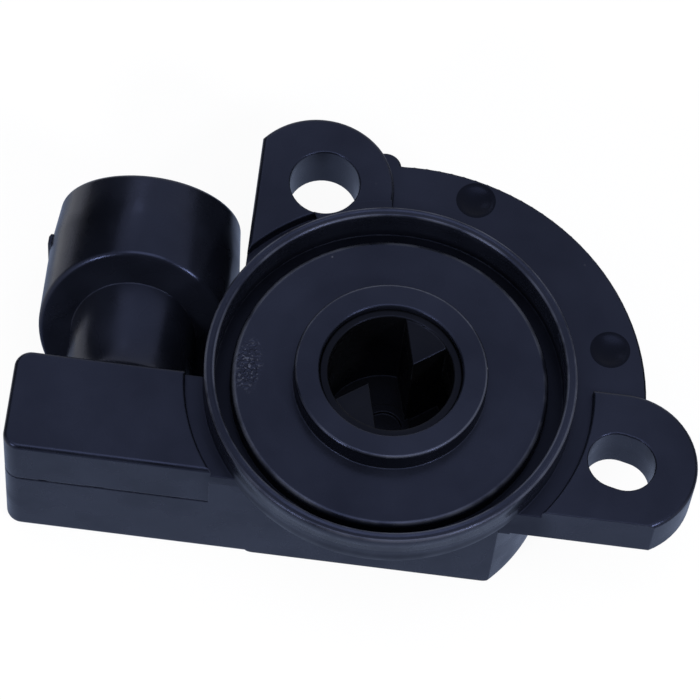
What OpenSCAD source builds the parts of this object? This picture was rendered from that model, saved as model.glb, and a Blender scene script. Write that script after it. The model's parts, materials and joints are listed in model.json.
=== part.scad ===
// Rotary throttle position sensor with two mounting ears and a three-pin connector.
// +Z points out of the mounting face along the rotor's axis. The origin is on that axis,
// in the plane of the ears' pads. The flat back lies at -back_depth.

/* [Mounting face] */
// Radius of the bore that the rotor turns in
bore_r = 7.7; // [6.8:0.1:8.4]
// Outer radius of the collar round the bore
collar_r = 10.4; // [9.6:0.1:11.5]
// Height of the collar above the pads
collar_top = 3.0; // [2:0.1:4]
// Height of the annular floor above the pads
floor_z = 0.4; // [0:0.1:1]
// Outer radius of the annular floor
floor_r = 17.1; // [16:0.1:17.4]
// Outer radius of the pilot rim
rim_r = 20.0; // [19.5:0.1:21]
// Radial width of the pilot rim
rim_w = 1.15; // [0.8:0.05:1.6]
// Height of the pilot rim above the pads
rim_top = 2.8; // [1.8:0.05:3.5]
// Depth of the rim's lower edge below the pads, in front of the flat wall
rim_under = 2.8; // [2.4:0.1:3.2]
// Depth of the seal groove below the pads
groove_depth = 1.5; // [0.8:0.1:2]

/* [Flange] */
// Thickness of the flange below the pads
plate_t = 6.4; // [6:0.1:7]
// How far the flange lies below the pads
flange_drop = 1.2; // [0.6:0.1:1.4]
// Radius of the cut that ends the pads round the rim
pad_cut_r = 22.0; // [21.5:0.1:23]
// Distance of the flat front wall from the axis
front_y = 13.1; // [12.8:0.1:13.5]
// Radius of the fan between the ears
fan_r = 27.1; // [26:0.1:28]
// Rounding of the pads' top edges
pad_round = 0.5; // [0.2:0.1:0.8]

/* [Ears] */
// Position of the upper ear's hole along X
ear1_x = -9.7; // [-11:0.1:-8]
// Position of the upper ear's hole along Y
ear1_y = 23.4; // [22.5:0.1:26]
// Radius of the upper ear's round end
ear1_r = 8.4; // [7.5:0.1:9]
// Half width of the upper ear between its straight sides
ear1_half = 7.6; // [7:0.1:8]
// Position of the lower ear's hole along X
ear2_x = 25.6; // [25:0.1:28]
// Position of the lower ear's hole along Y
ear2_y = -6.0; // [-7:0.1:-5]
// Radius of the lower ear's round end
ear2_r = 8.2; // [7.5:0.1:9]
// Radius of the upper ear's round hole
hole1_r = 3.85; // [3:0.05:4.2]
// Half width of the lower ear's short slot
hole2_r = 3.15; // [2.8:0.05:3.8]
// How much longer than wide the short slot is
slot_extra = 1.0; // [0.4:0.1:1.5]

/* [Connector arm] */
// Distance of the arm's left end from the axis
arm_x = 40.1; // [39:0.1:43]
// Depth of the arm's seam below the pads
arm_seam = 7.8; // [7.5:0.1:8]
// Distance of the arm's rear wall below the X axis
arm_rear_y = 1.5; // [1.2:0.1:2]
// Radius of the arm's upright corners
arm_corner_r = 1.8; // [1:0.1:3]
// Depth of the back below the pads
back_depth = 19.5; // [19.4:0.1:22]
// Wall of the rear housing
wall = 1.7; // [1.4:0.1:2]
// Floor of the rear housing
back_floor = 2.0; // [1.4:0.1:2.2]
// Outer radius of the rear housing's drum
drum_r = 18.8; // [18.4:0.1:19.2]

/* [Connector] */
// Distance of the connector's axis from the rotor's axis
conn_x = 28.5; // [28:0.1:30]
// Depth of the connector's axis below the pads
conn_depth = 8.8; // [8.7:0.1:8.9]
// Radius of the neck
neck_r = 6.9; // [6.7:0.1:7.4]
// Radius of the neck where it meets the arm
neck_root_r = 8.2; // [7.6:0.1:8.6]
// Outer radius of the shroud next to the neck
shroud_r = 10.6; // [10:0.1:10.7]
// Outer radius of the shroud at its mouth
shroud_mouth_r = 10.1; // [9.6:0.1:10.3]
// Radius of the socket inside the shroud
socket_r = 8.2; // [7.6:0.1:8.4]
// Depth of the socket
socket_depth = 8.5; // [7:0.1:9]
// Position of the shroud's mouth along Y
mouth_y = 21.0; // [20.5:0.1:24]
// Position of the shroud's inner end along Y, at its axis
shroud_y = 6.2; // [5.6:0.1:7]
// Slant of the shroud's inner end
shroud_slant = 23; // [15:1:28]
// Distance between the pins
pin_pitch = 4.4; // [4:0.1:4.5]
// Width of a pin
pin_w = 2.0; // [1.6:0.1:2.2]
// Thickness of a pin
pin_t = 0.64; // [0.5:0.02:0.8]

/* [Rotor] */
// Wall of the rotor's drive cup
cup_wall = 0.9; // [0.7:0.05:1.2]
// Height of the drive cup's rim above the pads
cup_top = 2.3; // [1.8:0.1:2.8]
// Depth of the drive cup's floor below the pads
cup_floor = 11.8; // [11:0.1:12]
// Radius of the rotor's flange
rotor_flange_r = 11.0; // [10.8:0.1:11.1]
// Thickness of the rotor's flange
rotor_flange_t = 1.4; // [1.2:0.1:1.6]
// Turn of the rotor from rest to full throttle
travel = 95; // [80:1:100]
// Distance of a drive lug's corner from the axis
lug_corner_r = 2.6; // [2.3:0.1:3.2]
// Direction of the drive lug's corner
lug_angle = 31; // [20:1:45]
// Radius of the pivot
pivot_r = 2.4; // [2:0.1:2.6]

/* [Spring and seal] */
// Diameter of the return spring's wire
wire_d = 0.9; // [0.7:0.1:1]
// Number of turns in the return spring
spring_turns = 3.5; // [2.5:1:3.5]
// Thickness of the shaft seal
seal_t = 1.9; // [1.6:0.1:2.1]
// Thickness of the seal retainer
retainer_t = 0.5; // [0.3:0.1:0.6]

/* [Resistor] */
// Thickness of the board
board_t = 1.0; // [0.8:0.1:1.2]
// Radius of the resistance track's middle
track_r = 9.8; // [9.6:0.1:10]
// Radius of the collector track's middle
collector_r = 7.3; // [7.2:0.1:7.4]
// Width of a track
track_w = 1.2; // [0.9:0.1:1.4]
// Angle over which the resistance track runs
track_span = 120; // [118:1:125]

/* [Fits] */
// Radial clearance of parts that turn in one another
run_fit = 0.05; // [0.03:0.01:0.08]
// Clearance of parts that are fitted and stay
fit_gap = 0.05; // [0.03:0.01:0.08]
// Free space kept round moving parts
free_gap = 0.3; // [0.2:0.05:0.4]

/* [Hidden] */
$fn = 96;
eps = 0.01;

// Levels, seams and inner walls
seam_z = -plate_t;
seam_inset = 0.15;
seam_h = 0.3;
arm_seam_z = -arm_seam;
arm_seam_x = -17.8;
rim_draft = 0.3;
inner_r = drum_r - wall;
inner_y = -front_y + wall;
floor_in = -back_depth + back_floor;
conn_z = -conn_depth;
arm_y0 = -front_y;
arm_y1 = -arm_rear_y;
arm_in_y1 = arm_y1 - wall;
apron_x1 = sqrt(drum_r * drum_r - front_y * front_y);

// Outline of the ears, the fan and the small nub between them
ear_root = rim_r - 12;
ear1_end = [-0.7, -0.3];
ear1_shift = 0.2;
fan_at = [0.7, 0.4];
nub_at = [6.4, 3.6];
nub_r = 1.8;

// Small features of the face, the shroud and the seam
groove_r = rim_r - rim_w;
ramp_l = 1.3;
ramp_w = 4.0;
ramp_h = 0.2;
taper_y = mouth_y - 5.5;
mouth_round = 0.6;
pad_wall = 1.8;
lip_w = 1.4;
lip_h = 1.6;
dimples = [[18.5, 24.6], [73.7, 25.2]];
dimple_r = 2.2;
dimple_depth = 0.4;
dimple_ball = (dimple_r * dimple_r + dimple_depth * dimple_depth) / (2 * dimple_depth);
notches = [[-36.2, 0.9, 0.45], [-31.2, 2.1, 0.4], [-20.4, 2.6, 0.25]];
far = 100;

// Rotor, its flange and its pivot
hub_r = bore_r - run_fit;
socket_in_r = hub_r - cup_wall;
flange_top = -cup_floor - 0.1;
flange_bot = flange_top - rotor_flange_t;
boss_r = pivot_r + 1.8;
boss_bot = flange_bot - 1.25;
pivot_top = -cup_floor - 1.25;
washer_t = 0.4;
shoulder_r = pivot_r + 0.7;
washer_bot = boss_bot - run_fit - washer_t;
shoulder_top = washer_bot - fit_gap;

// Bearing, seal pocket and the recess behind the face
bearing_l = 3.85;
pocket_r = bore_r + 1.9;
pocket_top = -bearing_l;
pocket_wall = 1.3;
recess_top = -groove_depth - 1.2;

// Board and what carries it
print_t = 0.08;
board_top = shoulder_top - 0.15;
board_bot = board_top - board_t;
board_r = inner_r - 1.0;
ledge_r = board_r - 0.8;
board_x1 = -conn_x - pin_pitch - 3.0;
stake_r = 0.9;
stake_x = 8.5;
stake_y = 11.0;

// Leads, terminals and their block
wiper_start = -track_span / 2 + (track_span - travel) / 2;
strip_w = 0.8;
foot_y = [-5.6, -7.0, -8.6];
pin_x = [for (i = [0:2]) -conn_x + (1 - i) * pin_pitch];
rivet_r = 0.5;
rivet_head_r = 0.85;
leg_y = arm_in_y1 - 0.3;
foot_bot = board_top + print_t + 0.02;
block_w = 2 * pin_pitch + pin_w + 0.7;
block_h = 2.6;
sealant_y0 = arm_y1 + 0.6;
block_y0 = sealant_y0 + 1.4;
socket_y = mouth_y - socket_depth;

// Wiper carrier and brushes
carrier_t = 0.3;
brush_t = 0.2;
peg_r = 0.5;
carrier_in_r = collector_r - 0.9;
carrier_out_r = track_r + 1.0;
peg_at = (track_r + collector_r) / 2;
peg_a = 14;
carrier_half = 24;

// Return spring and its anchor
coil_r = hub_r + free_gap + wire_d / 2 + 0.9;
coil_bot = flange_top + wire_d / 2 + fit_gap;
coil_pitch = wire_d * 1.12;
coil_top = coil_bot + spring_turns * coil_pitch;
spring_a0 = -20;
anchor_r = 0.9;
anchor_at = coil_r + wire_d / 2 + anchor_r + 0.5;

// Travel stops
stop_half = 7;
stop_a = 35;
stop_reach = 2.3;
stop_r = rotor_flange_r + stop_reach;
stop_gap = 1.3;
finger_half = 5;

// A pie slice of the plane between two angles
module slice(a0, a1, r = far) {
    steps = max(2, ceil((a1 - a0) / 20));
    polygon([[0, 0], for (i = [0:steps]) r * [cos(a0 + (a1 - a0) * i / steps), sin(a0 + (a1 - a0) * i / steps)]]);
}

// A ring in the plane, between two radii and two angles
module arc_band(r0, r1, a0, a1) {
    intersection() {
        difference() {
            circle(r = r1);
            circle(r = r0);
        }
        slice(a0, a1, 2 * r1);
    }
}

module tube(r0, r1, z0, z1) {
    translate([0, 0, z0])
        difference() {
            cylinder(r = r1, h = z1 - z0);
            translate([0, 0, -1]) cylinder(r = r0, h = z1 - z0 + 2);
        }
}

// Half section of a plate edge: w wide, with its top and bottom edges rounded
module edge_section(w, z0, z1, top, bottom) {
    mid = (z0 + z1) / 2;
    translate([0, z0 + bottom]) square([w, z1 - z0 - top - bottom]);
    translate([0, z0]) square([w - bottom, mid - z0]);
    translate([0, mid]) square([w - top, z1 - mid]);
    if (top > 0) translate([w - top, z1 - top]) circle(r = top, $fn = 32);
    if (bottom > 0) translate([w - bottom, z0 + bottom]) circle(r = bottom, $fn = 32);
}

// A round plate with rounded edges
module disc(r, z0, z1, top = 0, bottom = 0) {
    rotate_extrude()
        intersection() {
            edge_section(r, z0, z1, top, bottom);
            translate([0, z0]) square([r, z1 - z0]);
        }
}

// A straight bar of a plate along Y, rounded like the disc that ends it
module bar(r, y0, y1, z0, z1, top = 0, bottom = 0) {
    translate([0, y1, 0])
        rotate([90, 0, 0])
            linear_extrude(y1 - y0) {
                edge_section(r, z0, z1, top, bottom);
                mirror([1, 0]) edge_section(r, z0, z1, top, bottom);
            }
}

// The box of the connector arm with round upright corners at its free end
module arm_box(inset, z0, z1, top = 0, bottom = 0) {
    x0 = -arm_x + inset;
    y0 = arm_y0 + inset;
    y1 = arm_y1 - inset;
    rc = arm_corner_r;
    half = (y1 - y0) / 2;
    for (y = [y0 + rc, y1 - rc])
        translate([x0 + rc, y, 0]) disc(rc, z0, z1, top, bottom);
    translate([0, (y0 + y1) / 2, 0])
        rotate([0, 0, 90]) bar(half, 0, -x0 - rc, z0, z1, top, bottom);
    translate([x0 + rc, 0, 0]) bar(rc, y0 + rc, y1 - rc, z0, z1, top, bottom);
}

// The upper ear: a round end between straight sides
module ear1_plate(inset, z0, z1, top = 0) {
    intersection() {
        translate([ear1_x + ear1_end[0], 0, 0]) {
            translate([0, ear1_y + ear1_end[1], 0]) disc(ear1_r - inset, z0, z1, top);
            bar(ear1_r - inset, ear_root, ear1_y + ear1_end[1], z0, z1, top);
        }
        translate([ear1_x + ear1_shift, 0, 0]) bar(ear1_half - inset, ear_root - 1, far, z0, z1, top);
    }
}

module ear2_plate(inset, z0, z1, top = 0) {
    intersection() {
        union() {
            translate([ear2_x, ear2_y, 0]) disc(ear2_r - inset, z0, z1, top);
            translate([0, ear2_y, 0])
                rotate([0, 0, -90]) bar(ear2_r - inset, ear_root, ear2_x, z0, z1, top);
        }
        translate([-far, -front_y + inset, z0 - 1]) cube([2 * far, 2 * far, z1 - z0 + 2]);
    }
}

module short_slot(z0, z1) {
    a = atan2(ear2_y, ear2_x);
    translate([ear2_x, ear2_y, z0])
        rotate([0, 0, a])
            linear_extrude(z1 - z0) {
                translate([-slot_extra / 2, 0]) circle(r = hole2_r);
                translate([slot_extra / 2, 0]) circle(r = hole2_r);
                translate([-slot_extra / 2, -hole2_r]) square([slot_extra, 2 * hole2_r]);
            }
}

// Everything at the flange's level outside the rim, from the seam up
module flange_plate(inset, z0, z1, top = 0) {
    arm_box(inset, z0, z1, top);
    ear1_plate(inset, z0, z1, top);
    ear2_plate(inset, z0, z1, top);
    intersection() {
        translate([fan_at[0], fan_at[1], 0]) disc(fan_r - inset, z0, z1, top);
        translate([0, 0, z0 - 1]) linear_extrude(z1 - z0 + 2) slice(-12, 108);
    }
    translate([ear1_x + nub_at[0], ear1_y + nub_at[1], 0]) disc(nub_r - inset, z0, z1, top);
}

module raised_pads() {
    difference() {
        union() {
            arm_box(0, seam_z + seam_h, 0, pad_round);
            ear1_plate(0, seam_z + seam_h, 0, pad_round);
            ear2_plate(0, seam_z + seam_h, 0, pad_round);
        }
        translate([0, 0, -flange_drop]) cylinder(r = pad_cut_r, h = flange_drop + 1);
    }
}

// Section of the face from the collar to the rim, right of the axis
module face_section() {
    r = 0.35;
    difference() {
        union() {
            polygon([[bore_r, seam_z], [rim_r - rim_draft, seam_z], [rim_r - rim_draft, -rim_under],
                [rim_r, -flange_drop], [rim_r, floor_z], [bore_r, floor_z]]);
            translate([bore_r, floor_z]) square([collar_r - bore_r, collar_top - r - floor_z]);
            translate([bore_r, floor_z]) square([collar_r - bore_r - r, collar_top - floor_z]);
            translate([collar_r - r, collar_top - r]) circle(r = r, $fn = 32);
            translate([groove_r, floor_z]) square([rim_w, rim_top - r - floor_z]);
            translate([groove_r + r, floor_z]) square([rim_w - 2 * r, rim_top - floor_z]);
            translate([groove_r + r, rim_top - r]) circle(r = r, $fn = 32);
            translate([rim_r - r, rim_top - r]) circle(r = r, $fn = 32);
        }
        translate([floor_r, -groove_depth]) square([groove_r - floor_r, far]);
        difference() {
            translate([floor_r - 0.6, floor_z - 0.6]) square([0.7, 0.7]);
            translate([floor_r - 0.6, floor_z - 0.6]) circle(r = 0.6, $fn = 32);
        }
    }
}

// Finger under the plate that ends the rotor's travel
module stop_finger(a) {
    translate([0, 0, flange_bot + 0.2])
        linear_extrude(recess_top - flange_bot)
            arc_band(rotor_flange_r + free_gap + 0.2, inner_r - fit_gap - 0.7, a - finger_half, a + finger_half);
}

// Rim that centres the front housing in the rear one
module locating_lip() {
    intersection() {
        tube(inner_r - fit_gap - lip_w, inner_r - fit_gap, seam_z - lip_h, seam_z + eps);
        translate([-far, inner_y + fit_gap, -far]) cube(2 * far);
    }
}

// Peg that holds the spring's upper leg
module spring_anchor() {
    rotate([0, 0, spring_a0])
        translate([anchor_at, -anchor_r - wire_d / 2 - fit_gap, coil_top - wire_d])
            cylinder(r = anchor_r, h = recess_top - coil_top + wire_d + eps, $fn = 48);
}

// The arm's walls below the flange's seam, down to the arm's own seam
module arm_skirt() {
    difference() {
        union() {
            arm_box(seam_inset, arm_seam_z, arm_seam_z + seam_h + eps);
            arm_box(0, arm_seam_z + seam_h, seam_z + 1);
        }
        translate([arm_seam_x - fit_gap, -far, arm_seam_z - 1]) cube([far, 2 * far, far]);
        translate([0, 0, arm_seam_z - 1]) cylinder(r = drum_r + fit_gap, h = seam_z - arm_seam_z + 3);
    }
}

module front_shell() {
    difference() {
        union() {
            difference() {
                union() {
                    flange_plate(seam_inset, seam_z, seam_z + seam_h + eps);
                    flange_plate(0, seam_z + seam_h, -flange_drop, pad_round / 2);
                    raised_pads();
                }
                translate([0, 0, seam_z - 1]) cylinder(r = rim_r - 0.4, h = plate_t + 2);
            }
            rotate_extrude() face_section();
            arm_skirt();
        }
        // Flat front wall below the rim, and the rear housing's wall that stands up behind it
        translate([-far, -far, seam_z - 1]) cube([2 * far, far - front_y, -rim_under - seam_z + 1]);
        translate([arm_seam_x - fit_gap, -far, seam_z - 1])
            cube([apron_x1 - arm_seam_x + 2 * fit_gap, far + inner_y + fit_gap, -rim_under - seam_z + 1]);
        // Seal pocket and the recess that cores the plate from behind
        translate([0, 0, seam_z - 1]) cylinder(r = pocket_r, h = pocket_top - seam_z + 1);
        tube(pocket_r + pocket_wall, inner_r - 1.9, seam_z - eps, recess_top);
        // Arm cored from behind
        translate([-arm_x + wall + 0.6, arm_y0 + wall, arm_seam_z - 1])
            cube([arm_x - pad_cut_r - wall - 1.6, arm_in_y1 - arm_y0 - wall, arm_seam + 1 - pad_wall]);
        // Ear holes
        translate([ear1_x, ear1_y, seam_z - 1]) cylinder(r = hole1_r, h = plate_t + 2);
        short_slot(seam_z - 1, 1);
        // Dimples in the fan
        for (at = dimples)
            rotate([0, 0, at[0]])
                translate([at[1], 0, -flange_drop - dimple_depth + dimple_ball]) sphere(r = dimple_ball);
        // Room for the connector's shroud under the rim
        shroud_cut();
        // Moulding notches along the seam of the front wall
        for (n = notches)
            translate([n[0], -front_y - eps, arm_seam_z - eps]) cube([n[1], 0.4, n[2]]);
    }
}

module front_housing() {
    stop_a0 = stop_a - stop_half - stop_gap - finger_half;
    stop_a1 = stop_a + travel + stop_half + stop_gap + finger_half;
    color([0.15, 0.16, 0.21])
        union() {
            front_shell();
            locating_lip();
            stop_finger(stop_a0);
            stop_finger(stop_a1);
            spring_anchor();
        }
}

module shroud_cut() {
    translate([-conn_x, shroud_y, conn_z])
        rotate([-90, 0, 0]) cylinder(r = shroud_r + free_gap, h = mouth_y - shroud_y + 1);
}

module neck_section() {
    // Half section along the connector's axis: radius along X, length along Y
    polygon([[0, arm_y1 - wall], [neck_root_r, arm_y1 - wall],
        for (i = [0:8]) [neck_root_r - (neck_root_r - neck_r) * sin(i * 90 / 8),
            arm_y1 + (shroud_y - 2.6 - arm_y1) * (1 - cos(i * 90 / 8))],
        [neck_r, shroud_y + 6], [0, shroud_y + 6]]);
}

module along_connector() {
    // Turns a half section whose Y is the length into a solid round the connector's axis
    translate([-conn_x, 0, conn_z])
        rotate([-90, 0, 0]) rotate_extrude() children();
}

module shroud_section() {
    lip = shroud_mouth_r - mouth_round;
    difference() {
        union() {
            polygon([[0, shroud_y - 6], [shroud_r, shroud_y - 6], [shroud_r, taper_y],
                [shroud_mouth_r, mouth_y - mouth_round], [0, mouth_y - mouth_round]]);
            translate([0, mouth_y - mouth_round - eps]) square([lip, mouth_round + eps]);
            translate([lip, mouth_y - mouth_round]) circle(r = mouth_round, $fn = 32);
        }
        translate([0, socket_y]) square([socket_r, far]);
    }
}

module shroud_body() {
    difference() {
        along_connector() shroud_section();
        // Slanted inner end
        translate([-conn_x, shroud_y, conn_z])
            rotate([-shroud_slant, 0, 0])
                translate([-far / 2, -far, -far / 2]) cube(far);
    }
}

// Low catch on the side of the shroud that the plug's latch snaps over
module lock_ramp() {
    translate([-conn_x - shroud_r, taper_y + 1, conn_z - ramp_w / 2])
        linear_extrude(ramp_w)
            polygon([[1.5, 0], [0, 0], [-ramp_h, -0.4], [-ramp_h, -ramp_l], [1.5, -ramp_l]]);
}

module rear_solid() {
    intersection() {
        disc(drum_r, -back_depth, seam_z - fit_gap, 0, 0.6);
        translate([-far, -front_y, -far]) cube([2 * far, 2 * far, 2 * far]);
    }
    arm_box(0, -back_depth, arm_seam_z - fit_gap, 0, 0.6);
    intersection() {
        arm_box(0, arm_seam_z - 1, seam_z - fit_gap);
        translate([arm_seam_x, -far, -far]) cube(2 * far);
    }
    // Front wall that stands up to the rim's lower edge
    translate([arm_seam_x, -front_y, seam_z - 1])
        cube([apron_x1 - arm_seam_x, wall, -rim_under - fit_gap - seam_z + 1]);
    difference() {
        along_connector() neck_section();
        translate([-far, -far, arm_seam_z - fit_gap]) cube([2 * far, far + arm_y1 + fit_gap, far]);
    }
    shroud_body();
    lock_ramp();
}

module rear_cavity() {
    top = seam_z - floor_in + 1;
    translate([0, 0, floor_in])
        intersection() {
            cylinder(r = inner_r, h = top);
            translate([-far, inner_y, 0]) cube([2 * far, 2 * far, top]);
        }
    translate([-arm_x + wall, inner_y, floor_in])
        cube([arm_x - wall, arm_in_y1 - inner_y, top]);
}

module rear_housing() {
    color([0.17, 0.18, 0.23])
        union() {
            difference() {
                rear_solid();
                rear_cavity();
                // Tunnel for the terminal block, and the blades' way into it
                translate([-conn_x - block_w / 2 - fit_gap, sealant_y0 - fit_gap, conn_z - block_h / 2 - fit_gap])
                    cube([block_w + 2 * fit_gap, socket_y - sealant_y0 + fit_gap + eps, block_h + 2 * fit_gap]);
                blade_slots(arm_in_y1 - wall, block_y0);
            }
            // Ledge and posts that carry the board
            intersection() {
                tube(ledge_r, inner_r + eps, floor_in - eps, board_bot);
                translate([-far, inner_y - eps, -far]) cube([2 * far, 2 * far, 2 * far]);
                translate([-14.4, -far, -far]) cube([far, 2 * far, 2 * far]);
            }
            for (at = [[board_x1 + 1.4, arm_in_y1 - 2], [pin_x[1], inner_y + 1.4], [-19, inner_y + 1.4]])
                translate([at[0], at[1], floor_in - eps])
                    cylinder(r = 1.2, h = board_bot - floor_in + eps, $fn = 48);
            // Heat-staked posts through the board
            for (x = [-stake_x, stake_x])
                translate([x, stake_y, 0]) {
                    translate([0, 0, floor_in - eps])
                        cylinder(r = stake_r, h = board_top + fit_gap - floor_in + 2 * eps, $fn = 48);
                    translate([0, 0, board_top + fit_gap]) cylinder(r1 = stake_r + 0.7, r2 = stake_r, h = 0.5, $fn = 48);
                }
            // Pivot and its shoulder
            translate([0, 0, floor_in - eps]) {
                cylinder(r = shoulder_r, h = shoulder_top - floor_in + eps);
                cylinder(r = pivot_r, h = pivot_top - 0.1 - floor_in + eps);
            }
        }
}

// Outline of one drive lug: a wedge whose corner points at the axis
module lug_outline(r) {
    corner = lug_corner_r * [cos(lug_angle), sin(lug_angle)];
    intersection() {
        polygon([corner, corner + far * [cos(104), sin(104)], corner + 2 * far * [cos(70), sin(70)],
            corner + far * [cos(36), sin(36)]]);
        circle(r = r);
    }
}

module rotor() {
    color([0.12, 0.12, 0.13])
        union() {
            difference() {
                union() {
                    translate([0, 0, flange_bot]) cylinder(r = hub_r, h = cup_top - flange_bot);
                    translate([0, 0, flange_bot]) cylinder(r = rotor_flange_r, h = rotor_flange_t);
                    translate([0, 0, boss_bot]) cylinder(r = boss_r, h = flange_bot - boss_bot + eps);
                    // Travel stop at the edge of the flange
                    translate([0, 0, flange_bot])
                        linear_extrude(rotor_flange_t)
                            arc_band(rotor_flange_r - 0.5, stop_r, stop_a - stop_half, stop_a + stop_half);
                    // Rib that the spring's lower leg pushes on
                    translate([0, 0, flange_top - eps])
                        linear_extrude(1.4)
                            arc_band(coil_r + wire_d / 2 + 0.2, rotor_flange_r, spring_end - 12, spring_end - rib_gap);
                }
                translate([0, 0, -cup_floor]) cylinder(r = socket_in_r, h = far);
                translate([0, 0, boss_bot - 1]) cylinder(r = pivot_r + run_fit, h = pivot_top - boss_bot + 1);
            }
            // Two drive lugs
            for (turn = [0, 180])
                rotate([0, 0, turn])
                    translate([0, 0, -cup_floor - eps])
                        linear_extrude(cup_floor + cup_top - 0.2) lug_outline(socket_in_r + eps);
            // Low round hub on the cup's floor
            translate([0, 0, -cup_floor - eps])
                difference() {
                    cylinder(r = 3.0, h = 0.5);
                    translate([0, 0, 0.1]) cylinder(r = 2.0, h = 1);
                }
            // Pegs that hold the wiper carrier
            for (a = [wiper_start - peg_a, wiper_start + peg_a])
                rotate([0, 0, a])
                    translate([peg_at, 0, flange_bot - carrier_t - 0.35])
                        cylinder(r = peg_r, h = carrier_t + 0.36, $fn = 32);
        }
}
spring_end = spring_a0 + 360 * spring_turns;
rib_gap = asin((wire_d / 2 + fit_gap) / (coil_r + wire_d));

// A round tube swept along points, with closed ends
module sweep(points, r, sides) {
    n = len(points);
    rings = [for (i = [0:n - 1])
        let (a = points[max(0, i - 1)], b = points[min(n - 1, i + 1)], t = (b - a) / norm(b - a),
            up = [0, 0, 1], s = cross(t, up) / norm(cross(t, up)), u = cross(s, t))
            for (k = [0:sides - 1]) points[i] + r * (s * cos(360 * k / sides) + u * sin(360 * k / sides))];
    faces = [
        [for (k = [0:sides - 1]) k],
        [for (k = [sides - 1:-1:0]) (n - 1) * sides + k],
        for (i = [0:n - 2], k = [0:sides - 1])
            [i * sides + k, (i + 1) * sides + k, (i + 1) * sides + (k + 1) % sides, i * sides + (k + 1) % sides]];
    polyhedron(rings, faces, convexity = 6);
}

module return_spring() {
    steps = 20 * spring_turns;
    leg = wire_d + 1.3;
    coil = [for (i = [0:steps])
        let (a = spring_a0 + 360 * spring_turns * i / steps)
            [coil_r * cos(a), coil_r * sin(a), coil_top - (coil_top - coil_bot) * i / steps]];
    upper = [for (d = [leg + 0.8, 0.9]) [(coil_r + d) * cos(spring_a0), (coil_r + d) * sin(spring_a0), coil_top]];
    lower = [for (d = [0.9, leg - 0.3])
        [(coil_r + d) * cos(spring_end), (coil_r + d) * sin(spring_end), coil_bot]];
    color([0.6, 0.6, 0.62])
        sweep(concat(upper, coil, lower), wire_d / 2, 8);
}

module shaft_seal() {
    color([0.1, 0.1, 0.1])
        translate([0, 0, pocket_top - fit_gap - seal_t])
            rotate_extrude()
                difference() {
                    translate([hub_r + run_fit, 0]) square([pocket_r - fit_gap - hub_r - run_fit, seal_t]);
                    // Gap between the lip and the seal's outer ring
                    translate([hub_r + 0.75, -eps]) square([0.5, seal_t * 0.6]);
                }
}

module seal_retainer() {
    color([0.7, 0.7, 0.72])
        tube(hub_r + free_gap, pocket_r - fit_gap, pocket_top - 2 * fit_gap - seal_t - retainer_t,
            pocket_top - 2 * fit_gap - seal_t);
}

module thrust_washer() {
    color([0.75, 0.72, 0.6])
        tube(pivot_r + run_fit, boss_r - 0.2, washer_bot, washer_bot + washer_t);
}

module wiper_carrier() {
    color([0.75, 0.6, 0.35])
        translate([0, 0, flange_bot - fit_gap - carrier_t])
            difference() {
                linear_extrude(carrier_t)
                    arc_band(carrier_in_r, carrier_out_r, wiper_start - carrier_half, wiper_start + carrier_half);
                for (a = [wiper_start - peg_a, wiper_start + peg_a])
                    rotate([0, 0, a]) translate([peg_at, 0, -1]) cylinder(r = peg_r + fit_gap, h = 3, $fn = 32);
            }
}

// A stamped brush of three fingers that reach down to a track of radius r
module brush(r) {
    top = flange_bot - 2 * fit_gap - carrier_t;
    toe = board_top + print_t + 0.04;
    finger = 0.3;
    rotate([0, 0, wiper_start])
        translate([r, 0, 0])
            rotate([90, 0, 90]) {
                translate([0, 0, -0.6])
                    linear_extrude(1.2)
                        polygon([[0.6, top - brush_t], [2.2, top - brush_t], [2.2, top], [0.6, top]]);
                for (k = [-1:1])
                    translate([0, 0, k * 0.45 - finger / 2])
                        linear_extrude(finger)
                            polygon([[0.7, top], [0.7, top - brush_t], [-1.2, toe + 0.1], [-1.5, toe], [-1.9, toe + 0.25],
                                [-1.75, toe + 0.4], [-1.4, toe + 0.25], [-1.2, toe + 0.35], [0.3, top]]);
            }
}

module track_brush() { color([0.8, 0.75, 0.6]) brush(track_r); }

module collector_brush() { color([0.8, 0.75, 0.6]) brush(collector_r); }

module resistor_board() {
    color([0.45, 0.3, 0.15])
        difference() {
            translate([0, 0, board_bot])
                linear_extrude(board_t)
                    intersection() {
                        union() {
                            circle(r = board_r);
                            translate([board_x1, inner_y + 0.2])
                                square([-board_x1, arm_in_y1 - inner_y - 0.4]);
                        }
                        translate([-far, inner_y + 0.2]) square(2 * far);
                    }
            translate([0, 0, board_bot - 1]) cylinder(r = shoulder_r + 0.2, h = board_t + 2);
            for (x = [-stake_x, stake_x])
                translate([x, stake_y, board_bot - 1]) cylinder(r = stake_r + fit_gap, h = board_t + 2, $fn = 48);
            for (i = [0:2])
                translate([pin_x[i], foot_y[i], board_bot - 1]) cylinder(r = rivet_r + fit_gap, h = board_t + 2, $fn = 32);
        }
}

// A layer printed on the board
module printed() {
    translate([0, 0, board_top]) linear_extrude(print_t) children();
}

module resistance_track() {
    color([0.08, 0.08, 0.08])
        printed() arc_band(track_r - track_w / 2, track_r + track_w / 2, -track_span / 2, track_span / 2);
}

module collector_track() {
    end = 270 - acos(-foot_y[1] / collector_r);
    color([0.7, 0.7, 0.68])
        printed() {
            arc_band(collector_r - track_w / 2, collector_r + track_w / 2, -track_span / 2, end);
            lead_strip(1, -collector_r * cos(end - 180));
        }
}

// A printed strip from a terminal's foot to x, with its round land at the rivet
module lead_strip(i, x) {
    difference() {
        union() {
            translate([pin_x[i], foot_y[i] - strip_w / 2]) square([x - pin_x[i], strip_w]);
            translate([pin_x[i], foot_y[i]]) circle(r = rivet_head_r + 0.2, $fn = 32);
        }
        translate([pin_x[i], foot_y[i]]) circle(r = rivet_r + fit_gap, $fn = 32);
    }
}

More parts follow.
